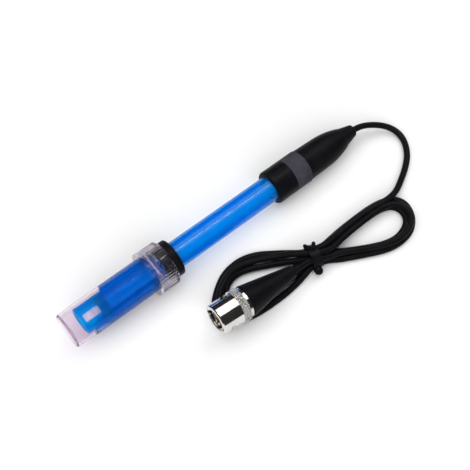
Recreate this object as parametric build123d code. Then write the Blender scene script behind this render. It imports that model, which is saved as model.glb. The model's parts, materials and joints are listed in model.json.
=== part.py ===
from build123d import *
import math
import os

# A pH electrode parked in its storage bottle, with its lead tied in a hank and a bayonet coax plug.
# Millimetres, +Z up. It lies at rest: +X runs along the electrode from the bottle to the lead, the
# hank lies on the -Y side, and the origin is on the floor under the middle of the electrode.
# The electrode and the plug are each turned about a local Z axis, then laid in place.

# Clearances
fit_gap = 0.03           # glued, pressed or crimped fits, on the radius
run_gap = 0.05           # a sliding fit, on the radius or between faces
free_gap = 0.2           # pieces that pass each other without touching

# Electrode body, along its axis from the tip
tube_d = 12.0
tube_wall = 1.1
tube_reach = 100.7       # tip to head
tube_insert = 10.0       # length glued into the head
tip_round = 0.7
guard_wall = 1.5
guard_len = 9.2          # depth of the guard round the bulb
window_count = 4
window_width = 3.3
window_low = 1.5
window_len = 7.3
window_round = 0.6
window_turn = 21.6       # degrees from straight up, towards -Y

# Glass, wires and seals inside the tube
stem_step = 0.6          # stem inside the bulb's radius
stem_wall = 0.5
bulb_gap = 0.9           # bulb to guard
bulb_wall = 0.4
bulb_recess = 1.0        # bulb behind the tip
seal_len = 3.6
junction_gap = 0.35      # junction to stem and tube
wire_d = 0.8
reference_low = 30.0
stopper_recess = 1.3     # stopper behind the head's front
stopper_grip = 3.0       # depth that holds the stem
wire_stub = 2.0          # wires past the tube's end

# Head, grey band and strain relief boot
head_wall = 2.0
head_len = 10.5
head_round = 1.3
band_len = 8.3
band_wall = 1.0
spigot_step = 3.0        # boot's seat inside the head's radius
spigot_len = 6.0
chamber_wall = 2.0
boot_step = 0.3
boot_draft = 0.35
boot_waist = 12.0        # straight length of the boot
nipple_wall = 1.8        # nipple's foot outside its end
nipple_step = 0.2
nipple_low = 25.0        # boot's length up to the nipple
boot_len = 32.0
boot_end_wall = 1.32     # round the lead, at both boots' ends
boot_end_round = 0.5

# Storage bottle and its liquid
liquid_gap = 1.1         # tube to bottle
bottle_wall = 1.0
base_draft = 0.4
base_wall = 1.2
base_round = 0.8
base_gap = 5.3           # bottle's floor in front of the tip
taper_len = 9.0
neck_step = 0.15
film_low = 8.3           # where the liquid ends, from the tip
film_slant = 39.0        # degrees
film_turn = 113.0        # degrees about the tube, to where the liquid comes nearest the tip
film_drop = 0.6          # liquid below the bottle's mouth

# Screw cap and its seal
cap_front = 33.5
cap_len = 10.2
thread_gap = 0.6         # room for the threads, neck to cap
cap_wall = 1.2           # at the foot of the ribs
cap_rear_wall = 1.2
cap_bevel = 0.6
rib_count = 48
rib_d = 0.7
flange_rim = 0.65
flange_len = 1.0
seal_wall = 1.0          # seal's throat in the cap
seal_pad = 2.8           # part of the seal that the bottle's mouth presses on
seal_pad_gap = 0.25      # seal's pad to cap
seal_collar_rim = 1.45
seal_collar_len = 3.9
seal_round = 0.8

# Lead and hank: a lead point's third number is its height over the floor
cord_d = 2.9
lead_points = [
    (86.6, -0.2, 4.65),
    (94.2, -2.9, 2.75),
    (98.6, -8.7, 1.15),
    (99.0, -16.2, 0.15),
    (95.4, -23.2, 0.05),
    (89.0, -28.4, 0.05),
    (81.2, -31.6, 0.25),
    (73.4, -33.3, 0.95),
    (66.0, -34.0, 1.75),
]
run_share = 0.45         # share of the shorter run that an arc takes
waist = (22.6, -36.0)
left_loop = [
    (15.0, -29.2), (6.5, -23.2), (-2.5, -19.4), (-11.0, -20.4), (-17.6, -24.6),
    (-19.4, -30.2), (-15.2, -34.8), (-7.0, -36.4), (4.0, -36.8), (14.0, -36.8),
]
right_loop = [
    (35.0, -42.4), (45.0, -46.6), (55.0, -50.4), (63.0, -50.9), (68.4, -47.0),
    (69.6, -41.0), (65.0, -36.2), (56.0, -34.6), (45.0, -34.5), (34.0, -34.8),
]
layer_width = 9.2        # strands side by side in one layer
layer_slack = 0.2
ridge_width = 6.2        # strands in two layers
strand_rise = 2.5        # one layer of strands on another
left_ridge = ((-4.5, -33.0), (24.0, -12.0))      # where a loop's strands lie in two layers
right_ridge = ((24.0, -39.0), (63.0, -28.0))
waist_slack = 0.3
waist_len = 13.0
waist_turn = -16.0
tail_len = 9.0           # from the plug's boot into the waist

# Tie round the waist
tie_thick = 0.8
tie_width = 4.4
knob_d = 3.8
knob_len = 1.8
knob_drop = 1.6
knob_shift = -0.4
stub_d = 1.7
stub_root = 1.2          # where both ends leave the band, off its middle
stub_tips = [(-1.5, 0.1, -2.2), (-0.5, -0.6, 1.5)]   # up, out and along from the band's shoulder

# Bayonet coax plug, along its axis from the nose
plug_nose_place = (-29.9, -34.4)
plug_nose_rise = 9.1     # above the strands that it lies on
plug_heading = (46.2, -2.6, -4.6)
shell_wall = 0.9         # outside the pocket
shell_front = 9.9
socket_room = 0.93       # sleeve to shell
shell_bevel = 0.4
knurl_step = 0.25
knurl_len = 3.4
knurl_count = 44
knurl_ridge_d = 0.45
shell_travel = 0.8       # the shell's push against its spring
pocket_room = 0.4        # pocket in front of the flange
pocket_gap = 0.3         # flange to pocket
groove_depth = 0.72
groove_width = 2.3
slot_width = 2.3
slot_across = 6.2
slot_along = 3.0
slot_middle = 5.7
slot_turn = 112.0        # degrees from straight up, towards -Y
detent_d = 2.8
sleeve_d = 8.0
sleeve_wall = 0.7
sleeve_low = 1.2
gasket_len = 0.6
root_step = 0.15
finger_slot = 0.5
finger_len = 5.3
plug_flange_low = 8.8
plug_flange_len = 1.2
plug_flange_rim = 1.5
spine_step = 1.25        # body behind the flange
spine_len = 7.5
spine_wall = 4.0
insulator_low = 4.2
insulator_len = 8.0
pin_d = 1.35
pin_low = 2.0
pin_round = 0.4
spring_thick = 0.25
spring_rise = 0.12
washer_thick = 0.5
collar_wall = 2.3
collar_len = 1.1
plug_boot_wall = 2.8
plug_boot_len = 25.4
plug_boot_round = 0.9
ferrule_wall = 1.12
ferrule_len = 9.5
cord_in_plug = 22.1      # lead inside the plug's boot

# Values that follow from the sizes above
tube_r = tube_d / 2
bore_r = tube_r - tube_wall
guard_r = tube_r - guard_wall
tube_top = tube_reach + tube_insert
bulb_r = guard_r - bulb_gap
stem_r = bulb_r - stem_step
junction_r = (bore_r - stem_r) / 2 - junction_gap
wire_r = wire_d / 2
wire_offset = (stem_r + bore_r) / 2
stopper_low = tube_reach + stopper_recess
head_r = tube_r + head_wall
spigot_r = head_r - spigot_step
band_low = tube_reach + head_len
boot_low = band_low + band_len
boot_top = boot_low + boot_len
spigot_top = boot_low + spigot_len
chamber_top = boot_low - chamber_wall
cord_r = cord_d / 2
layer_high = cord_d + layer_slack
ridge_high = layer_high + strand_rise
waist_width = 3 * cord_d + waist_slack
waist_high = cord_d + 2 * strand_rise
waist_middle = tie_thick + waist_high / 2
plug_nose = (*plug_nose_place, layer_high + plug_nose_rise)
cord_hole_r = cord_r + fit_gap
boot_r = head_r - boot_step
boot_waist_r = boot_r - boot_draft
boot_end_r = cord_hole_r + boot_end_wall
nipple_r = boot_end_r + nipple_wall
base_low = -base_gap - base_wall
bottle_bore_r = tube_r + liquid_gap
bottle_r = bottle_bore_r + bottle_wall
base_r = bottle_r - base_draft
neck_r = bottle_r - neck_step
thread_r = neck_r + thread_gap
cap_r = thread_r + cap_wall
cap_rear = cap_front + cap_len
cap_wall_low = cap_rear - cap_rear_wall
mouth = cap_wall_low - seal_pad
flange_r = cap_r + flange_rim
flange_top = cap_front + flange_len

# The electrode lies on the cap's flange and on the band's end
tilt = math.atan2(flange_r - head_r, boot_low - flange_top)
middle = (base_low + boot_top) / 2
lean = (base_r - boot_end_r) / 2 * math.sin(tilt)


def axis_point(height):
    """Where a point of the electrode's axis lies."""
    rise = flange_r - (height - flange_top) * math.tan(tilt)
    return ((height - middle) * math.cos(tilt) + lean, 0, rise * math.cos(tilt))


electrode_lay = Plane(
    origin=axis_point(0),
    x_dir=(math.sin(tilt), 0, math.cos(tilt)),
    z_dir=(math.cos(tilt), 0, -math.sin(tilt)),
).location
plug_lay = Plane(origin=plug_nose, x_dir=(0, 0, 1), z_dir=plug_heading).location


def turned(*points):
    """A closed outline of (radius, height) points, turned about the axis."""
    outline = Polyline(*[(radius, 0, height) for radius, height in points], close=True)
    return revolve(make_face(outline), Axis.Z)


def rod(radius, low, high, offset=0.0):
    """A round bar along the axis."""
    bar = Cylinder(radius, high - low, align=(Align.CENTER, Align.CENTER, Align.MIN))
    return Pos(offset, 0, low) * bar


def ring(inner, outer, low, high):
    """A round tube along the axis."""
    return rod(outer, low, high) - rod(inner, low, high)


def rim(part, radius, height):
    """The round edges of a part at one radius and height."""
    rounds = part.edges().filter_by(GeomType.CIRCLE)
    return [e for e in rounds if abs(e.radius - radius) < 1e-3 and abs(e.arc_center.Z - height) < 1e-3]


def ribbed(radius, ridge_d, count, low, high):
    """A round bar with ridges along it."""
    ridges = [place * Circle(ridge_d / 2) for place in PolarLocations(radius, count)]
    return Pos(0, 0, low) * extrude(Circle(radius) + ridges, high - low)


# Electrode body

def make_body_tube():
    tube = turned(
        (guard_r, 0), (tube_r, 0), (tube_r, tube_top), (bore_r, tube_top), (bore_r, guard_len),
        (guard_r, guard_len),
    )
    tube = fillet(rim(tube, tube_r, 0), tip_round)
    window = Pos(0, 0, window_low) * Box(
        tube_d, window_width, window_len, align=(Align.MIN, Align.CENTER, Align.MIN)
    )
    window = fillet(window.edges().filter_by(Axis.X), window_round)
    for index in range(window_count):
        tube -= Rot(0, 0, window_turn + index * 360 / window_count) * window
    return tube


def make_glass_membrane():
    bulb = Pos(0, 0, bulb_recess + bulb_r)
    low = bulb_recess + bulb_r
    high = stopper_low + stopper_grip
    outside = bulb * Sphere(bulb_r) + rod(stem_r, low, high)
    inside = bulb * Sphere(bulb_r - bulb_wall) + rod(stem_r - stem_wall, low, high)
    return outside - inside


def make_stem_seal():
    seal = ring(stem_r + fit_gap, bore_r - fit_gap, guard_len, guard_len + seal_len)
    return seal - rod(junction_r + fit_gap, guard_len, guard_len + seal_len, -wire_offset)


def make_junction_pin():
    return rod(junction_r, guard_len, guard_len + seal_len, -wire_offset)


def make_tube_stopper():
    stopper = rod(bore_r - fit_gap, stopper_low, tube_top)
    stopper -= rod(stem_r + fit_gap, stopper_low, stopper_low + stopper_grip + fit_gap)
    for offset in (0, wire_offset):
        stopper -= rod(wire_r + fit_gap, stopper_low, tube_top, offset)
    return stopper


def make_inner_wire():
    return rod(wire_r, bulb_recess + bulb_r, tube_top + wire_stub)


def make_reference_wire():
    return rod(wire_r, reference_low, tube_top + wire_stub, wire_offset)


def make_cable_core():
    return rod(cord_r / 2, tube_top + wire_stub, chamber_top)


# Head

def make_head_cap():
    band_seat_r = head_r - band_wall - fit_gap
    hole_r = tube_r + fit_gap
    cap = turned(
        (hole_r, tube_reach), (head_r, tube_reach), (head_r, band_low), (band_seat_r, band_low),
        (band_seat_r, boot_low), (spigot_r, boot_low), (spigot_r, spigot_top),
        (cord_hole_r, spigot_top), (cord_hole_r, chamber_top), (bore_r, chamber_top),
        (bore_r, tube_top), (hole_r, tube_top),
    )
    return fillet(rim(cap, head_r, tube_reach), head_round)


def make_grip_band():
    return ring(head_r - band_wall, head_r, band_low, boot_low)


def make_strain_relief():
    start = (boot_r, 0, boot_low)
    shoulder = (boot_waist_r, 0, boot_low + boot_waist)
    nose = (nipple_r + nipple_step, 0, boot_low + nipple_low)
    foot = (nipple_r, 0, boot_low + nipple_low)
    seat_r = spigot_r + fit_gap
    along = (boot_waist_r - boot_r, 0, boot_waist)
    edges = Polyline((seat_r, 0, boot_low), start, shoulder)
    edges += TangentArc(shoulder, nose, tangent=along)
    edges += Polyline(
        nose, foot, (boot_end_r, 0, boot_top), (cord_hole_r, 0, boot_top),
        (cord_hole_r, 0, spigot_top), (seat_r, 0, spigot_top), (seat_r, 0, boot_low),
    )
    boot = revolve(make_face(edges), Axis.Z)
    return fillet(rim(boot, boot_end_r, boot_top), boot_end_round)


# Storage bottle

def make_storage_bottle():
    bottle = turned(
        (0, base_low), (base_r, base_low), (bottle_r, base_low + taper_len),
        (bottle_r, cap_front - free_gap), (neck_r, cap_front), (neck_r, mouth),
        (bottle_bore_r, mouth), (bottle_bore_r, base_low + taper_len),
        (base_r - bottle_wall, -base_gap), (0, -base_gap),
    )
    return fillet(rim(bottle, base_r, base_low), base_round)


def make_storage_solution():
    film = ring(tube_r + run_gap, bottle_bore_r - run_gap, 0, mouth - film_drop)
    below = Pos(0, 0, film_low) * Rot(0, 0, film_turn) * Rot(0, film_slant, 0) * Box(
        8 * bottle_r, 8 * bottle_r, 4 * bottle_r, align=(Align.CENTER, Align.CENTER, Align.MAX)
    )
    return film - below


def make_bottle_cap():
    body = ribbed(cap_r, rib_d, rib_count, cap_front, cap_rear)
    crest_r = cap_r + rib_d / 2
    body &= turned(
        (0, cap_front), (crest_r, cap_front), (crest_r, cap_rear - cap_bevel),
        (crest_r - cap_bevel, cap_rear), (0, cap_rear),
    )
    body += rod(flange_r, cap_front, flange_top)
    body -= rod(thread_r, cap_front, cap_wall_low)
    return body - rod(tube_r + seal_wall, cap_wall_low, cap_rear)


def make_cap_seal():
    grip_r = tube_r + run_gap
    pad_r = thread_r - seal_pad_gap
    throat_r = tube_r + seal_wall - fit_gap
    collar_r = tube_r + seal_wall + seal_collar_rim
    top = cap_rear + seal_collar_len
    seal = turned(
        (grip_r, mouth), (pad_r, mouth), (pad_r, cap_wall_low), (throat_r, cap_wall_low),
        (throat_r, cap_rear), (collar_r, cap_rear), (collar_r, top), (grip_r, top),
    )
    return fillet(rim(seal, collar_r, top), seal_round)


# Lead, hank and tie

def arc_radii(points):
    """The largest arc that each corner's two runs allow."""
    radii = []
    for before, corner, after in zip(points, points[1:], points[2:]):
        arrive = Vector(*corner) - Vector(*before)
        leave = Vector(*after) - Vector(*corner)
        half_turn = math.radians(arrive.get_angle(leave)) / 2
        radii.append(run_share * min(arrive.length, leave.length) / math.tan(half_turn))
    return radii


def make_cord_lead():
    points = [axis_point(boot_top), *[(x, y, cord_r + rise) for x, y, rise in lead_points]]
    path = FilletPolyline(*points, radius=arc_radii(points))
    tube = sweep(Plane(origin=path @ 0, z_dir=path % 0) * Circle(cord_r), path=path)
    return tube + electrode_lay * rod(cord_r, chamber_top, boot_top)


def loop_band(points, width):
    """The floor that a loop's strands cover, from the waist and back to it."""
    corners = [Vector(*point) for point in (waist, *points, waist)]
    band = Sketch()
    for start, end in zip(corners, corners[1:]):
        run = end - start
        centre = (start + end) / 2
        turn = math.degrees(math.atan2(run.Y, run.X))
        band += Pos(centre.X, centre.Y) * Rot(0, 0, turn) * SlotCenterToCenter(run.length, width)
    return band


def loop_ridge(points, span):
    """A loop's strands that lie in two layers, inside a span of the floor."""
    (left, front), (right, back) = span
    inside = Pos(left, front) * Rectangle(right - left, back - front, align=(Align.MIN, Align.MIN))
    return extrude(loop_band(points, ridge_width) & inside, ridge_high)


def waist_place(height):
    """A frame at the hank's waist, with Z along the strands and X up."""
    heading = math.radians(waist_turn)
    along = (math.cos(heading), math.sin(heading), 0)
    return Plane(origin=(*waist, height), x_dir=(0, 0, 1), z_dir=along).location


def waist_bar(margin, length):
    """An oval bar through the waist, wider than the strands by a margin."""
    oval = Ellipse(waist_high / 2 + margin, waist_width / 2 + margin)
    return waist_place(waist_middle) * (Pos(0, 0, -length / 2) * extrude(oval, length))


def make_cord_hank():
    hank = extrude(loop_band(left_loop, layer_width) + loop_band(right_loop, layer_width), layer_high)
    hank += loop_ridge(left_loop, left_ridge) + loop_ridge(right_loop, right_ridge)
    hank -= waist_place(waist_middle) * Box(4 * waist_high, 4 * waist_width, tie_width + 2 * free_gap)
    return hank + waist_bar(0, waist_len)


def make_cord_tail():
    return plug_lay * rod(cord_r, plug_boot_top - cord_in_plug, plug_boot_top + tail_len)


def make_twist_tie():
    tie = waist_bar(tie_thick, tie_width) - waist_bar(fit_gap, tie_width)
    knob = rod(knob_d / 2, 0, knob_len) + Pos(0, 0, knob_len) * Sphere(knob_d / 2)
    side = waist_width / 2
    tie += waist_place(waist_middle) * Pos(-knob_drop, side, knob_shift) * Rot(-90, 0, 0) * knob
    top = waist_high / 2 + stub_d / 2
    root = Vector(top, -stub_root, 0)
    for up, out, along in stub_tips:
        run = Vector(top + up, -side - out, along) - root
        stub = rod(stub_d / 2, 0, run.length) + Pos(0, 0, run.length) * Sphere(stub_d / 2)
        tie += waist_place(waist_middle) * Plane(origin=root, z_dir=run).location * stub
    return tie - waist_bar(fit_gap, waist_len)


# Coax plug

sleeve_r = sleeve_d / 2
sleeve_bore_r = sleeve_r - sleeve_wall
shell_bore_r = sleeve_r + socket_room
groove_r = shell_bore_r + groove_depth
root_r = sleeve_r + root_step
plug_flange_r = root_r + plug_flange_rim
spine_r = plug_flange_r - spine_step
pocket_r = plug_flange_r + pocket_gap
shell_r = pocket_r + shell_wall
knurl_r = shell_r + knurl_step
collar_r = spine_r + collar_wall
plug_boot_r = spine_r + plug_boot_wall
ferrule_r = cord_hole_r + ferrule_wall
plug_flange_top = plug_flange_low + plug_flange_len
spine_top = plug_flange_top + spine_len
shell_rear = shell_front + knurl_len
collar_low = shell_rear + free_gap
plug_boot_low = collar_low + collar_len
plug_boot_top = plug_boot_low + plug_boot_len
sleeve_root = plug_flange_low - gasket_len
pocket_low = plug_flange_low - pocket_room
washer_low = plug_flange_top + fit_gap + spring_rise + spring_thick + run_gap + shell_travel
lip_low = washer_low + washer_thick + run_gap


def make_bayonet_shell():
    shell = rod(shell_r, 0, shell_rear)
    shell += ribbed(knurl_r, knurl_ridge_d, knurl_count, shell_front, shell_rear)
    shell = chamfer(rim(shell, shell_r, 0), shell_bevel)
    shell -= rod(shell_bore_r, 0, pocket_low)
    shell -= rod(pocket_r, pocket_low, lip_low)
    shell -= rod(spine_r + free_gap, lip_low, shell_rear)
    slant = math.degrees(math.atan2(slot_along, slot_across))
    slot_run = math.hypot(slot_along, slot_across)
    slot = SlotCenterToCenter(slot_run, slot_width) + Pos(slot_run / 2, 0) * Circle(detent_d / 2)
    side = Plane(origin=(0, 0, slot_middle), x_dir=(0, 1, 0), z_dir=(1, 0, 0)).location
    slot = side * extrude(Rot(0, 0, slant) * slot, 2 * knurl_r)
    groove = Box(
        groove_r, groove_width, slot_middle - slot_along / 2,
        align=(Align.MIN, Align.CENTER, Align.MIN),
    )
    groove_turn = -math.degrees(math.asin(slot_across / (2 * shell_r)))
    for turn in (slot_turn, slot_turn + 180):
        shell -= Rot(0, 0, turn) * slot
        shell -= Rot(0, 0, turn + groove_turn) * groove
    return shell


def make_plug_body():
    cable_hole_r = cord_r / 2
    body = turned(
        (sleeve_bore_r, sleeve_low), (sleeve_r, sleeve_low), (sleeve_r, sleeve_root),
        (root_r, sleeve_root), (root_r, plug_flange_low), (plug_flange_r, plug_flange_low),
        (plug_flange_r, plug_flange_top), (spine_r, plug_flange_top), (spine_r, spine_top),
        (cable_hole_r, spine_top), (cable_hole_r, spine_top - spine_wall),
        (sleeve_bore_r, spine_top - spine_wall),
    )
    cut = Pos(0, 0, sleeve_low) * Box(
        sleeve_d, finger_slot, finger_len, align=(Align.CENTER, Align.CENTER, Align.MIN)
    )
    return body - cut - Rot(0, 0, 90) * cut


def make_plug_insulator():
    return ring(pin_d / 2 + fit_gap, sleeve_bore_r - fit_gap, insulator_low, insulator_low + insulator_len)


def make_centre_pin():
    pin = rod(pin_d / 2, pin_low, insulator_low + insulator_len)
    return fillet(rim(pin, pin_d / 2, pin_low), pin_round)


def make_plug_gasket():
    return ring(root_r + fit_gap, shell_bore_r - free_gap, sleeve_root, plug_flange_low)


def make_spring_washer():
    inner = spine_r + run_gap
    outer = plug_flange_r - run_gap
    low = plug_flange_top + fit_gap
    high = low + spring_rise
    return turned((inner, low), (outer, high), (outer, high + spring_thick), (inner, low + spring_thick))


def make_thrust_washer():
    return ring(spine_r + run_gap, pocket_r - free_gap, washer_low, washer_low + washer_thick)


def make_rear_collar():
    return ring(spine_r + fit_gap, collar_r, collar_low, plug_boot_low)


def make_crimp_ferrule():
    return ring(cord_hole_r, ferrule_r, spine_top, spine_top + ferrule_len)


def make_plug_boot():
    seat_r = spine_r + fit_gap
    ferrule_hole_r = ferrule_r + fit_gap
    ferrule_top = spine_top + ferrule_len + fit_gap
    boot = turned(
        (seat_r, plug_boot_low), (plug_boot_r, plug_boot_low), (boot_end_r, plug_boot_top),
        (cord_hole_r, plug_boot_top), (cord_hole_r, ferrule_top), (ferrule_hole_r, ferrule_top),
        (ferrule_hole_r, spine_top), (seat_r, spine_top),
    )
    return fillet(rim(boot, plug_boot_r, plug_boot_low), plug_boot_round)


electrode_pieces = {
    "body_tube": make_body_tube(),
    "glass_membrane": make_glass_membrane(),
    "stem_seal": make_stem_seal(),
    "junction_pin": make_junction_pin(),
    "tube_stopper": make_tube_stopper(),
    "inner_wire": make_inner_wire(),
    "reference_wire": make_reference_wire(),
    "cable_core": make_cable_core(),
    "head_cap": make_head_cap(),
    "grip_band": make_grip_band(),
    "strain_relief": make_strain_relief(),
    "storage_bottle": make_storage_bottle(),
    "storage_solution": make_storage_solution(),
    "bottle_cap": make_bottle_cap(),
    "cap_seal": make_cap_seal(),
}
plug_pieces = {
    "bayonet_shell": make_bayonet_shell(),
    "plug_body": make_plug_body(),
    "plug_insulator": make_plug_insulator(),
    "centre_pin": make_centre_pin(),
    "plug_gasket": make_plug_gasket(),
    "spring_washer": make_spring_washer(),
    "thrust_washer": make_thrust_washer(),
    "rear_collar": make_rear_collar(),
    "crimp_ferrule": make_crimp_ferrule(),
    "plug_boot": make_plug_boot(),
}
cord_pieces = {
    "cord_lead": make_cord_lead(),
    "cord_hank": make_cord_hank(),
    "cord_tail": make_cord_tail(),
    "twist_tie": make_twist_tie(),
}

pieces = {name: electrode_lay * piece for name, piece in electrode_pieces.items()}
pieces |= {name: plug_lay * piece for name, piece in plug_pieces.items()}
pieces |= cord_pieces

os.makedirs("parts", exist_ok=True)
for name, piece in pieces.items():
    export_step(piece, f"parts/{name}.step")
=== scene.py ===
import bmesh
import bpy
import json
from math import atan2, cos, pi, radians, sin, tan
from mathutils import Matrix, Vector


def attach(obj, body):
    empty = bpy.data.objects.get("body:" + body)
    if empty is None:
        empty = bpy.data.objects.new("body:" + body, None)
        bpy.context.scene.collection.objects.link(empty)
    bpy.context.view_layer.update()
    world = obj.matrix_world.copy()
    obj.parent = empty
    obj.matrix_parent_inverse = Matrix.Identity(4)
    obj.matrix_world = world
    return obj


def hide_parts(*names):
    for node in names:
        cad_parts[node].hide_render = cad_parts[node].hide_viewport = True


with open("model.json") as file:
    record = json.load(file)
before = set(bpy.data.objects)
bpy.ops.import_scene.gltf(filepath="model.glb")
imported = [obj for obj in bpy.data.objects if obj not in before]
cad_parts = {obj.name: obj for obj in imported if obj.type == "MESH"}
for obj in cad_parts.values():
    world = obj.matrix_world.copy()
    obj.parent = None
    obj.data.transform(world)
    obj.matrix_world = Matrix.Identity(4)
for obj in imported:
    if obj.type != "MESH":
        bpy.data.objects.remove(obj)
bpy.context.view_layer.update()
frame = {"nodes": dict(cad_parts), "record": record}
nodes = frame["nodes"]
MM = 0.001

# Places of the electrode and the plug, in millimetres as in the part.
# Heights run along the electrode, from the glass tip to the boot.
flange_r = 10.4
head_r = 8.0
base_r = 7.7
boot_end_r = 2.8
flange_top = 34.5
seal_low = 40.0
seal_top = 44.0
boot_low = 119.5
boot_top = 151.5
base_low = -6.5
tilt = atan2(flange_r - head_r, boot_low - flange_top)
middle = (base_low + boot_top) / 2
lean = (base_r - boot_end_r) / 2 * sin(tilt)
plug_nose = Vector((-29.9, -34.4, 12.2))
plug_heading = Vector((46.2, -2.6, -4.6)).normalized()


def on_axis(height):
    """Where a point of the electrode's axis lies."""
    rise = flange_r - (height - flange_top) * (flange_r - head_r) / (boot_low - flange_top)
    return Vector(((height - middle) * cos(tilt) + lean, 0, rise * cos(tilt)))


electrode_place = Matrix.Translation(on_axis(0) * MM) @ Matrix((
    (sin(tilt), 0, cos(tilt), 0),
    (0, -1, 0, 0),
    (cos(tilt), 0, -sin(tilt), 0),
    (0, 0, 0, 1),
))


def link(thing):
    bpy.context.scene.collection.objects.link(thing)
    return thing


# Camera at the photograph's angle, with the picture taken as 470 by 470
camera_place = (-0.098924, -0.130458, 0.317454)
camera_down = 62.818
camera_turn = -39.503
camera_lens = 61.866
camera_sensor = 36
camera_near = 0.005


def make_camera():
    camera_data = bpy.data.cameras.new("studio_camera")
    camera_data.sensor_width = camera_sensor
    camera_data.lens = camera_lens
    camera_data.clip_start = camera_near
    camera = link(bpy.data.objects.new("studio_camera", camera_data))
    camera.location = camera_place
    camera.rotation_euler = (radians(90 - camera_down), 0, radians(camera_turn))
    bpy.context.scene.camera = camera


# The lead's route, in millimetres: out of the boot, three turns through the tie, and into the plug
cord_d = 2.9
cord_sides = 5
cord_steps = 6
lead_out = [
    (73.5, 0, 7.25), (79.0, 0, 7.09), (85.2, -0.8, 6.3), (92, -4.4, 4.6), (96.4, -8.8, 3.0),
    (97.7, -14.2, 1.9), (95.9, -19.4, 1.5), (92.2, -24.2, 1.5), (86.7, -28.3, 1.5), (80.4, -31.8, 1.7),
    (74.4, -34.7, 2.8), (68.8, -36, 4.3), (63.2, -35.4, 4.3), (56.5, -34.4, 4.2), (47, -34, 4.2),
    (38.5, -34.5, 4.7), (33.6, -35.2, 5.9), (28.2, -35.6, 7.0), (20.5, -32.3, 4.9),
]
left_outer_loop = [
    (15.5, -26.6, 2.4), (10.6, -22.4, 1.5), (6, -19.1, 1.45), (0.9, -16.9, 1.45), (-4, -16.1, 1.45),
    (-9.6, -16.6, 1.45), (-14.3, -18.3, 1.45), (-19.6, -21.7, 1.45), (-23.2, -24.9, 1.45),
    (-25.2, -29, 1.45), (-24.2, -33.6, 1.45), (-20.2, -37.4, 1.45), (-14, -39.5, 1.45),
    (-5, -40.4, 1.45), (4, -40.5, 1.45), (11, -39.9, 1.6), (15, -39.3, 2.8), (19.6, -38.7, 3.6),
    (27, -40.2, 2.2),
]
right_outer_loop = [
    (31.4, -43.1, 1.5), (37, -46.1, 1.45), (42.4, -48.9, 1.45), (48.2, -51.8, 1.45), (54.2, -53.8, 1.45),
    (60, -54.1, 1.45), (65.2, -53, 1.45), (69.3, -50.3, 1.45), (72.2, -46.3, 1.45),
    (73.3, -41.4, 1.45), (71.6, -37.3, 1.45), (67, -34.5, 1.45), (59.5, -33.1, 1.45),
    (50, -32.9, 1.45), (41, -33, 1.45), (34.5, -33.8, 2.6), (29.1, -34.8, 4.6), (20.1, -33.7, 2.25),
]
left_inner_loop = [
    (14, -34, 1.5), (6, -34.2, 1.45), (-2, -34.2, 1.45), (-9, -34, 1.45), (-13.2, -33.5, 1.45),
    (-16.3, -30.7, 1.45), (-17.2, -26.9, 1.45), (-15.7, -23.3, 1.45), (-12.3, -20.9, 1.45),
    (-7.8, -20.1, 1.45), (-2.6, -21.3, 1.45), (4, -24.6, 1.45), (9.6, -27.6, 1.45), (14.6, -31, 2.6),
    (19.7, -35.2, 4.6), (28.3, -37.6, 4.6),
]
right_inner_loop = [
    (33.5, -36.5, 3.0), (40, -36.1, 1.45), (49, -36, 1.45), (57.5, -36.1, 1.45), (63.5, -36.9, 1.45),
    (67.4, -38.6, 1.45), (69.4, -41.9, 1.45), (69.1, -45.9, 1.45), (66.7, -49.1, 1.45),
    (62.6, -50.9, 1.45), (57.8, -51.6, 1.45), (52.4, -50.4, 1.45), (46.8, -47.8, 1.45),
    (41.2, -44.7, 1.45), (36, -41.6, 1.5), (32.4, -39.2, 1.6), (28.4, -37, 2.0), (19.3, -36.6, 2.25),
]
left_upper_loop = [
    (13.5, -36.7, 1.5), (5, -36.75, 1.45), (-3, -36.75, 1.45), (-10.5, -36.5, 1.45),
    (-16.5, -35.4, 1.45), (-20.3, -32.6, 1.5), (-21.8, -29, 2.5), (-21.2, -25.8, 3.6),
    (-18.4, -22.8, 3.9), (-14, -20.3, 3.95), (-9.4, -18.8, 3.9), (-4, -18.9, 3.4), (1.2, -20.3, 3.0),
    (6.4, -22.8, 3.0), (11.2, -25.9, 3.7), (15.8, -29.0, 5.2), (20.1, -33.7, 7.25),
    (27.9, -38.5, 7.1),
]
right_upper_loop = [
    (33.4, -38.2, 5.9), (39, -37.2, 4.5), (48, -36.9, 4.35), (56.5, -36.9, 4.3), (63.5, -37.4, 4.0),
    (67.9, -38.7, 3.95), (70.6, -42.1, 3.95), (70.8, -46.3, 3.95), (68.4, -50, 3.95),
    (64, -52.4, 3.95), (58.8, -53.2, 3.95), (53.2, -52.3, 3.95), (47.6, -49.8, 3.95),
    (41.8, -46.6, 3.95), (36.5, -43.6, 3.95), (31.6, -41.2, 4.3), (27.5, -40.4, 4.75),
    (19.3, -37.1, 7.3),
]
tail_in = [(14.6, -36.9, 7.76), (9.8, -36.6, 8.24), (4.9, -36.4, 8.74)]
cord_route = (lead_out + left_outer_loop + right_outer_loop + left_inner_loop + right_inner_loop
              + left_upper_loop + right_upper_loop + tail_in)


def make_lead(jacket):
    curve = bpy.data.curves.new("lead", "CURVE")
    curve.dimensions = "3D"
    curve.bevel_depth = cord_d / 2 * MM
    curve.bevel_resolution = cord_sides
    curve.resolution_u = cord_steps
    curve.use_fill_caps = True
    spline = curve.splines.new("NURBS")
    spline.points.add(len(cord_route) - 1)
    for point, place in zip(spline.points, cord_route):
        point.co = (*(Vector(place) * MM), 1)
    spline.order_u = 3
    spline.use_endpoint_u = True
    curve.materials.append(jacket)
    lead = link(bpy.data.objects.new("lead", curve))
    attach(lead, "electrode")
    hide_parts("cord_lead", "cord_hank", "cord_tail")


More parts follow.
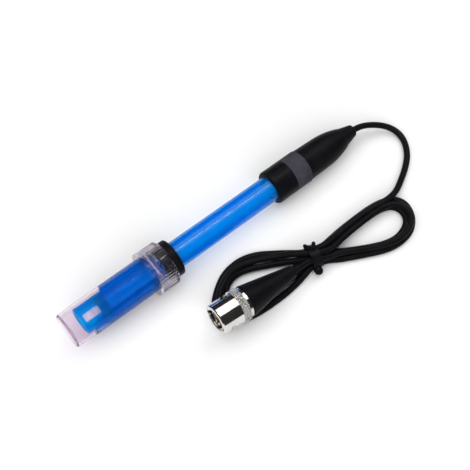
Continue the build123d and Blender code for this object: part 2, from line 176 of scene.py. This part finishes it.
# Shader node groups
def new_group(name, inputs, outputs):
    """An empty shader node group; inputs are (name, kind, value) and outputs are (name, kind)."""
    group = bpy.data.node_groups.new(name, "ShaderNodeTree")
    for label, kind, value in inputs:
        socket = group.interface.new_socket(label, in_out="INPUT", socket_type=kind)
        socket.default_value = value
    for label, kind in outputs:
        group.interface.new_socket(label, in_out="OUTPUT", socket_type=kind)
    return group, group.nodes.new("NodeGroupInput"), group.nodes.new("NodeGroupOutput")


def add(tree, kind, links=None, **settings):
    """A node with its settings, its input values by name or number, and its links."""
    node = tree.nodes.new(kind)
    for key, value in settings.items():
        setattr(node, key, value)
    for key, value in (links or {}).items():
        if isinstance(value, bpy.types.NodeSocket):
            tree.links.new(value, node.inputs[key])
        else:
            node.inputs[key].default_value = value
    return node


def mottle_group():
    """Slow blotches and fine specks over a surface, as a colour between two and as a value."""
    group, given, put = new_group(
        "mottle",
        [("Scale", "NodeSocketFloat", 120.0), ("Dark", "NodeSocketColor", (0.1, 0.1, 0.1, 1)),
         ("Light", "NodeSocketColor", (0.2, 0.2, 0.2, 1)), ("Low", "NodeSocketFloat", 0.3),
         ("High", "NodeSocketFloat", 0.5)],
        [("Color", "NodeSocketColor"), ("Value", "NodeSocketFloat")],
    )
    place = add(group, "ShaderNodeTexCoord")
    blotch = add(group, "ShaderNodeTexNoise", {
        "Vector": place.outputs["Object"], "Scale": given.outputs["Scale"], "Detail": 4.0, "Roughness": 0.6,
    })
    shaped = add(group, "ShaderNodeMapRange", {
        "Value": blotch.outputs["Fac"], "From Min": 0.3, "From Max": 0.7,
    })
    colour = add(group, "ShaderNodeMix", {
        "Factor": shaped.outputs["Result"], "A": given.outputs["Dark"], "B": given.outputs["Light"],
    }, data_type="RGBA")
    value = add(group, "ShaderNodeMapRange", {
        "Value": shaped.outputs["Result"], "To Min": given.outputs["Low"], "To Max": given.outputs["High"],
    })
    group.links.new(colour.outputs["Result"], put.inputs["Color"])
    group.links.new(value.outputs["Result"], put.inputs["Value"])
    return group


def grain_group():
    """Fine moulded grain over slow waves, as a height."""
    group, given, put = new_group(
        "moulded_grain",
        [("Scale", "NodeSocketFloat", 2500.0), ("Waves", "NodeSocketFloat", 180.0),
         ("Wave share", "NodeSocketFloat", 0.5)],
        [("Height", "NodeSocketFloat")],
    )
    place = add(group, "ShaderNodeTexCoord")
    fine = add(group, "ShaderNodeTexNoise", {
        "Vector": place.outputs["Object"], "Scale": given.outputs["Scale"], "Detail": 2.0,
    })
    slow = add(group, "ShaderNodeTexNoise", {
        "Vector": place.outputs["Object"], "Scale": given.outputs["Waves"], "Detail": 1.0,
    })
    height = add(group, "ShaderNodeMix", {
        "Factor": given.outputs["Wave share"], "A": fine.outputs["Fac"], "B": slow.outputs["Fac"],
    })
    group.links.new(height.outputs["Result"], put.inputs["Height"])
    return group


mottle = mottle_group()
grain = grain_group()


# Materials
def mottled_material(name, scale, tones, rough):
    """A material whose colour and roughness wander between two tones and two values."""
    material = bpy.data.materials.new(name)
    material.use_nodes = True
    tree = material.node_tree
    tree.nodes.clear()
    output = tree.nodes.new("ShaderNodeOutputMaterial")
    shader = tree.nodes.new("ShaderNodeBsdfPrincipled")
    tree.links.new(shader.outputs["BSDF"], output.inputs["Surface"])
    dark, light = tones
    low, high = rough
    tone = add(tree, "ShaderNodeGroup", node_tree=mottle)
    tone.inputs["Scale"].default_value = scale
    tone.inputs["Dark"].default_value = (*dark, 1)
    tone.inputs["Light"].default_value = (*light, 1)
    tone.inputs["Low"].default_value = low
    tone.inputs["High"].default_value = high
    tree.links.new(tone.outputs["Color"], shader.inputs["Base Color"])
    tree.links.new(tone.outputs["Value"], shader.inputs["Roughness"])
    return material, tree, shader, output


def place_bump(tree, shader, scale, waves, wave_share, strength, height):
    """Moulded grain through a bump into a shader's normal; the height is in millimetres."""
    node = add(tree, "ShaderNodeGroup", node_tree=grain)
    node.inputs["Scale"].default_value = scale
    node.inputs["Waves"].default_value = waves
    node.inputs["Wave share"].default_value = wave_share
    bump = add(tree, "ShaderNodeBump", {
        "Height": node.outputs["Height"], "Strength": strength, "Distance": height * MM,
    })
    tree.links.new(bump.outputs["Normal"], shader.inputs["Normal"])


satin_gloss = 0.045


def satin_material(name, tones, rough):
    """Rubber, jacket or moulded plastic: two near tones, uneven gloss and a fine grain."""
    material, tree, shader, _ = mottled_material(name, scale=160.0, tones=tones, rough=rough)
    shader.inputs["Specular IOR Level"].default_value = satin_gloss
    place_bump(tree, shader, scale=3000.0, waves=260.0, wave_share=0.4, strength=0.25, height=0.04)
    return material


def clear_material(name, ior, tints, rough, shadow, deep, density, bump, clearness=1.0, glint=1.0):
    """Clear plastic, glass or liquid: its surface tints, and the deep colour where it is thick."""
    material, tree, shader, output = mottled_material(name, scale=140.0, tones=tints, rough=rough)
    shader.inputs["IOR"].default_value = ior
    shader.inputs["Transmission Weight"].default_value = clearness
    shader.inputs["Specular Tint"].default_value = (glint, glint, glint, 1)
    place_bump(tree, shader, scale=900.0, waves=220.0, wave_share=0.8, strength=bump, height=0.05)
    path = add(tree, "ShaderNodeLightPath")
    passing = add(tree, "ShaderNodeBsdfTransparent", {"Color": (*shadow, 1)})
    lighting = add(tree, "ShaderNodeMath", {
        0: path.outputs["Is Shadow Ray"], 1: path.outputs["Is Diffuse Ray"],
    }, operation="MAXIMUM")
    mix = add(tree, "ShaderNodeMixShader", {
        0: lighting.outputs["Value"], 1: shader.outputs["BSDF"], 2: passing.outputs["BSDF"],
    })
    tree.links.new(mix.outputs["Shader"], output.inputs["Surface"])
    volume = add(tree, "ShaderNodeVolumeAbsorption", {"Color": (*deep, 1), "Density": density})
    tree.links.new(volume.outputs["Volume"], output.inputs["Volume"])
    return material


guard_pale = 3.0
guard_deep = 12.0
guard_tint = (0.0, 0.54, 1.0)
tube_coat = 0.5
tube_coat_rough = 0.15


def along_tube(tree, start, end, most):
    """A value that rises from nothing to the most between two heights over the glass tip."""
    place = add(tree, "ShaderNodeTexCoord")
    along = add(tree, "ShaderNodeSeparateXYZ", {"Vector": place.outputs["Object"]})
    share = add(tree, "ShaderNodeMapRange", {
        "Value": along.outputs["X"], "From Min": on_axis(start).x * MM, "From Max": on_axis(end).x * MM,
        "To Max": most,
    })
    return share.outputs["Result"]


def dress_tube(material):
    """The tube's gloss begins at the cap's seal, and its thin guard at the tip is paler than the rest."""
    tree = material.node_tree
    shader = next(node for node in tree.nodes if node.type == "BSDF_PRINCIPLED")
    shader.inputs["Coat Roughness"].default_value = tube_coat_rough
    tree.links.new(along_tube(tree, seal_low, seal_top, tube_coat), shader.inputs["Coat Weight"])
    tone = shader.inputs["Base Color"].links[0].from_socket
    tint = add(tree, "ShaderNodeMix", {
        "Factor": along_tube(tree, guard_pale, guard_deep, 1.0), "A": (*guard_tint, 1), "B": tone,
    }, data_type="RGBA")
    tree.links.new(tint.outputs["Result"], shader.inputs["Base Color"])


def metal_material(name, tones, rough):
    """Drawn or plated metal with a fine grain."""
    material, tree, shader, _ = mottled_material(name, scale=260.0, tones=tones, rough=rough)
    shader.inputs["Metallic"].default_value = 1.0
    place_bump(tree, shader, scale=2200.0, waves=300.0, wave_share=0.5, strength=0.1, height=0.03)
    return material


knurl_low = 9.95
knurl_high = 13.25
knurl_turns = 70
knurl_pitch = 0.75
knurl_depth = 0.12


def knurl_height(tree):
    """Crossed cuts round the plug's axis, only where its shell is knurled."""
    sideways = plug_heading.orthogonal().normalized()
    upright = plug_heading.cross(sideways)
    place = add(tree, "ShaderNodeTexCoord")
    offset = add(tree, "ShaderNodeVectorMath", {
        0: place.outputs["Object"], 1: plug_nose * MM,
    }, operation="SUBTRACT")

    def reach(axis):
        node = add(tree, "ShaderNodeVectorMath", {
            0: offset.outputs["Vector"], 1: axis,
        }, operation="DOT_PRODUCT")
        return node.outputs["Value"]

    def calc(operation, *values):
        node = add(tree, "ShaderNodeMath", dict(enumerate(values)), operation=operation)
        return node.outputs["Value"]

    along = reach(plug_heading)
    turned = calc("MULTIPLY", calc("ARCTAN2", reach(sideways), reach(upright)), knurl_turns)
    moved = calc("MULTIPLY", along, 2 * pi / (knurl_pitch * MM))
    one_way = calc("SINE", calc("ADD", turned, moved))
    other_way = calc("SINE", calc("SUBTRACT", turned, moved))
    past_low = calc("GREATER_THAN", along, knurl_low * MM)
    short_of_high = calc("LESS_THAN", along, knurl_high * MM)
    inside = calc("MULTIPLY", past_low, short_of_high)
    return calc("MULTIPLY", calc("MAXIMUM", one_way, other_way), inside)


def cut_knurl(material):
    """Adds the knurl's cuts to the grain of the plug's metal."""
    tree = material.node_tree
    shader = next(node for node in tree.nodes if node.type == "BSDF_PRINCIPLED")
    grained = shader.inputs["Normal"].links[0].from_socket
    cut = add(tree, "ShaderNodeBump", {
        "Height": knurl_height(tree), "Normal": grained, "Strength": 1.0, "Distance": knurl_depth * MM,
    })
    tree.links.new(cut.outputs["Normal"], shader.inputs["Normal"])


finishes = {
    "blue_tube": clear_material(
        "clear_blue_plastic", ior=1.15, tints=((0.0, 0.32, 0.88), (0.0, 0.37, 0.94)), rough=(0.12, 0.18),
        shadow=(0.93, 0.96, 0.99), deep=(0.5, 0.6, 0.96), density=180.0, bump=0.008,
        clearness=0.75, glint=0.2),
    "glass": clear_material(
        "membrane_glass", ior=1.45, tints=((0.93, 0.92, 0.97), (0.97, 0.96, 1.0)), rough=(0.01, 0.03),
        shadow=(0.95, 0.97, 1.0), deep=(0.5, 0.7, 0.6), density=20.0, bump=0.05, clearness=0.7),
    "clear_bottle": clear_material(
        "clear_bottle_plastic", ior=1.25, tints=((0.84, 0.79, 0.84), (0.92, 0.88, 0.92)), rough=(0.01, 0.03),
        shadow=(0.96, 0.94, 0.96), deep=(0.5, 0.1, 0.5), density=40.0, bump=0.05, glint=0.14),
    "clear_cap": clear_material(
        "clear_cap_plastic", ior=1.36, tints=((0.89, 0.87, 0.94), (0.96, 0.94, 0.98)), rough=(0.01, 0.03),
        shadow=(0.94, 0.92, 0.95), deep=(0.4, 0.2, 0.5), density=30.0, bump=0.03, glint=0.4),
    "solution": clear_material(
        "storage_liquid", ior=1.33, tints=((0.9, 0.94, 1.0), (0.95, 0.98, 1.0)), rough=(0.0, 0.01),
        shadow=(0.97, 0.98, 1.0), deep=(0.15, 0.6, 1.0), density=200.0, bump=0.02, glint=0.1),
    "black_rubber": satin_material(
        "satin_black_rubber", tones=((0.004, 0.004, 0.005), (0.008, 0.008, 0.01)), rough=(0.34, 0.46)),
    "black_plastic": satin_material(
        "satin_black_plastic", tones=((0.004, 0.004, 0.006), (0.008, 0.008, 0.01)), rough=(0.28, 0.4)),
    "grey_band": satin_material(
        "matt_grey_rubber", tones=((0.034, 0.032, 0.042), (0.066, 0.063, 0.08)), rough=(0.5, 0.62)),
    "cord_jacket": satin_material(
        "satin_jacket", tones=((0.004, 0.004, 0.005), (0.008, 0.008, 0.009)), rough=(0.32, 0.44)),
    "ceramic": satin_material(
        "porous_ceramic", tones=((0.7, 0.69, 0.64), (0.85, 0.84, 0.8)), rough=(0.6, 0.8)),
    "white_insulator": satin_material(
        "white_insulator", tones=((0.78, 0.77, 0.74), (0.9, 0.89, 0.87)), rough=(0.3, 0.45)),
    "silver_wire": metal_material(
        "silver", tones=((0.6, 0.59, 0.57), (0.8, 0.79, 0.77)), rough=(0.2, 0.35)),
    "nickel": metal_material(
        "bright_nickel", tones=((0.62, 0.6, 0.58), (0.78, 0.76, 0.74)), rough=(0.06, 0.14)),
    "gold_pin": metal_material(
        "gold_plate", tones=((0.7, 0.48, 0.18), (0.9, 0.66, 0.28)), rough=(0.15, 0.28)),
}
thread_finish = clear_material(
    "clear_thread_plastic", ior=1.47, tints=((0.86, 0.84, 0.9), (0.97, 0.96, 1.0)), rough=(0.02, 0.06),
    shadow=(0.96, 0.94, 0.96), deep=(0.5, 0.4, 0.5), density=20.0, bump=0.1)
dress_tube(finishes["blue_tube"])
cut_knurl(finishes["nickel"])


def dress_nodes():
    for part in frame["record"]["subparts"]:
        mesh = nodes[part["node"]].data
        mesh.materials.clear()
        mesh.materials.append(finishes[part["material_slot"]])


# Storage liquid and screw threads, made upright along the electrode's axis
sharp_angle = 35


def new_piece(name, bm, body, material):
    mesh = bpy.data.meshes.new(name)
    bmesh.ops.recalc_face_normals(bm, faces=bm.faces)
    bm.to_mesh(mesh)
    bm.free()
    mesh.shade_smooth()
    mesh.set_sharp_from_angle(angle=radians(sharp_angle))
    mesh.materials.append(material)
    piece = link(bpy.data.objects.new(name, mesh))
    piece.matrix_world = electrode_place
    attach(piece, body)
    return piece


def skin(bm, rings, closed):
    """Faces between rings of points; the last ring joins the first if closed, or else both are capped."""
    rows = [[bm.verts.new(point) for point in row] for row in rings]
    pairs = list(zip(rows, rows[1:]))
    if closed:
        pairs.append((rows[-1], rows[0]))
    for one, two in pairs:
        for index in range(len(one)):
            after = (index + 1) % len(one)
            bm.faces.new((one[index], one[after], two[after], two[index]))
    if not closed:
        bm.faces.new(rows[0])
        bm.faces.new(rows[-1])


def round_point(radius, turn, height):
    return Vector((radius * cos(turn), radius * sin(turn), height)) * MM


# The liquid reaches a little into the walls of tube and bottle, so that no air shows between them
liquid_inner_r = 5.9
liquid_outer_r = 7.16
liquid_low = 8.3
liquid_slant = 39.0
liquid_turn = 113.0
liquid_top = 39.1
liquid_steps = 96


def make_liquid():
    """A sleeve of liquid round the tube; its lower end slants, where the air lies."""

    def low(radius, turn):
        return liquid_low - radius * cos(turn - radians(liquid_turn)) * tan(radians(liquid_slant))

    rings = []
    for step in range(liquid_steps):
        turn = 2 * pi * step / liquid_steps
        rings.append([
            round_point(liquid_inner_r, turn, low(liquid_inner_r, turn)),
            round_point(liquid_outer_r, turn, low(liquid_outer_r, turn)),
            round_point(liquid_outer_r, turn, liquid_top),
            round_point(liquid_inner_r, turn, liquid_top),
        ])
    bm = bmesh.new()
    skin(bm, rings, closed=True)
    liquid = new_piece("storage_liquid", bm, "solution", finishes["solution"])
    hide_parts("storage_solution")


thread_pitch = 2.5
thread_length = 4.0
thread_width = 0.95
thread_crest = 0.35
thread_steps = 64
thread_run_out = 0.1
thread_end = 0.04
neck_root_r = 7.9
neck_crest_r = 8.42
neck_thread_low = 35.0
cap_root_r = 8.6
cap_crest_r = 8.1
cap_thread_low = 34.9


def make_thread(name, root_r, crest_r, low, phase, body, material):
    """A helical ridge that rises from a root to a crest radius and runs out at both ends."""
    count = int(thread_length / thread_pitch * thread_steps)
    rings = []
    for step in range(count + 1):
        turn = 2 * pi * (step / thread_steps + phase)
        height = low + thread_pitch * step / thread_steps
        to_end = min(step, count - step) / count
        share = thread_end + (1 - thread_end) * min(1.0, to_end / thread_run_out)
        crest = root_r + (crest_r - root_r) * share
        rings.append([
            round_point(root_r, turn, height - thread_width / 2),
            round_point(crest, turn, height - thread_crest / 2),
            round_point(crest, turn, height + thread_crest / 2),
            round_point(root_r, turn, height + thread_width / 2),
        ])
    bm = bmesh.new()
    skin(bm, rings, closed=False)
    new_piece(name, bm, body, material)


# Floor and studio light
floor_size = 3.0
floor_tones = ((0.93, 0.93, 0.93), (0.95, 0.95, 0.95))
floor_rough = (0.7, 0.8)
floor_gloss = 0.1
pale_from = 0.25
pale_to = 0.9
room_glow = 0.03


def make_floor():
    """A pale floor that the camera sees fade to white away from the electrode."""
    mesh = bpy.data.meshes.new("floor")
    corners = [(x * floor_size, y * floor_size, 0) for x, y in ((-1, -1), (1, -1), (1, 1), (-1, 1))]
    mesh.from_pydata(corners, [], [(0, 1, 2, 3)])
    floor = link(bpy.data.objects.new("floor", mesh))
    material, tree, shader, output = mottled_material(
        "pale_floor", scale=3.0, tones=floor_tones, rough=floor_rough)
    shader.inputs["Specular IOR Level"].default_value = floor_gloss
    place = add(tree, "ShaderNodeTexCoord")
    away = add(tree, "ShaderNodeVectorMath", {0: place.outputs["Object"]}, operation="LENGTH")
    fade = add(tree, "ShaderNodeMapRange", {
        "Value": away.outputs["Value"], "From Min": pale_from, "From Max": pale_to,
    }, interpolation_type="SMOOTHSTEP")
    path = add(tree, "ShaderNodeLightPath")
    seen = add(tree, "ShaderNodeMath", {
        0: fade.outputs["Result"], 1: path.outputs["Is Camera Ray"],
    }, operation="MULTIPLY")
    paper = add(tree, "ShaderNodeEmission", {"Color": (1, 1, 1, 1), "Strength": 1.0})
    mix = add(tree, "ShaderNodeMixShader", {
        0: seen.outputs["Value"], 1: shader.outputs["BSDF"], 2: paper.outputs["Emission"],
    })
    tree.links.new(mix.outputs["Shader"], output.inputs["Surface"])
    mesh.materials.append(material)


def add_light(name, place, aim, long, wide, power, glints=True, glow=True):
    """A soft panel; without glints it isn't mirrored, and without glow it only gives glints."""
    light = bpy.data.lights.new(name, "AREA")
    light.shape = "RECTANGLE"
    light.size = long
    light.size_y = wide
    light.energy = power
    lamp = link(bpy.data.objects.new(name, light))
    lamp.location = place
    lamp.rotation_euler = (Vector(aim) - Vector(place)).to_track_quat("-Z", "Y").to_euler()
    lamp.visible_glossy = glints
    lamp.visible_diffuse = glow
    lamp.visible_transmission = glow


def make_world():
    """A dim room; the camera itself sees plain white behind the floor."""
    world = bpy.data.worlds.new("studio")
    world.use_nodes = True
    tree = world.node_tree
    tree.nodes.clear()
    room = add(tree, "ShaderNodeBackground", {"Color": (1, 1, 1, 1), "Strength": room_glow})
    paper = add(tree, "ShaderNodeBackground", {"Color": (1, 1, 1, 1), "Strength": 1.0})
    path = add(tree, "ShaderNodeLightPath")
    mix = add(tree, "ShaderNodeMixShader", {
        0: path.outputs["Is Camera Ray"], 1: room.outputs["Background"], 2: paper.outputs["Background"],
    })
    output = add(tree, "ShaderNodeOutputWorld")
    tree.links.new(mix.outputs["Shader"], output.inputs["Surface"])
    bpy.context.scene.world = world


make_camera()
dress_nodes()
make_lead(finishes["cord_jacket"])
make_liquid()
make_thread("neck_thread", neck_root_r, neck_crest_r, neck_thread_low, phase=0.0,
            body="bottle", material=thread_finish)
make_thread("cap_thread", cap_root_r, cap_crest_r, cap_thread_low, phase=0.5,
            body="cap", material=finishes["clear_cap"])
make_floor()
add_light("overhead_softbox", place=(0.0, 0.31, 1.0), aim=(0.0, 0.31, 0.0), long=4.0, wide=1.24, power=25.5)
add_light("overhead_strip", place=(0.17, 0.05, 0.6), aim=(0.17, 0.05, 0.0), long=0.5, wide=0.05, power=1.1,
          glow=False)
add_light("front_fill", place=(-0.3, -0.8, 0.7), aim=(0.0, 0.0, 0.0), long=1.2, wide=0.8, power=8.0,
          glints=False)
make_world()
bpy.context.scene.view_settings.view_transform = "Standard"
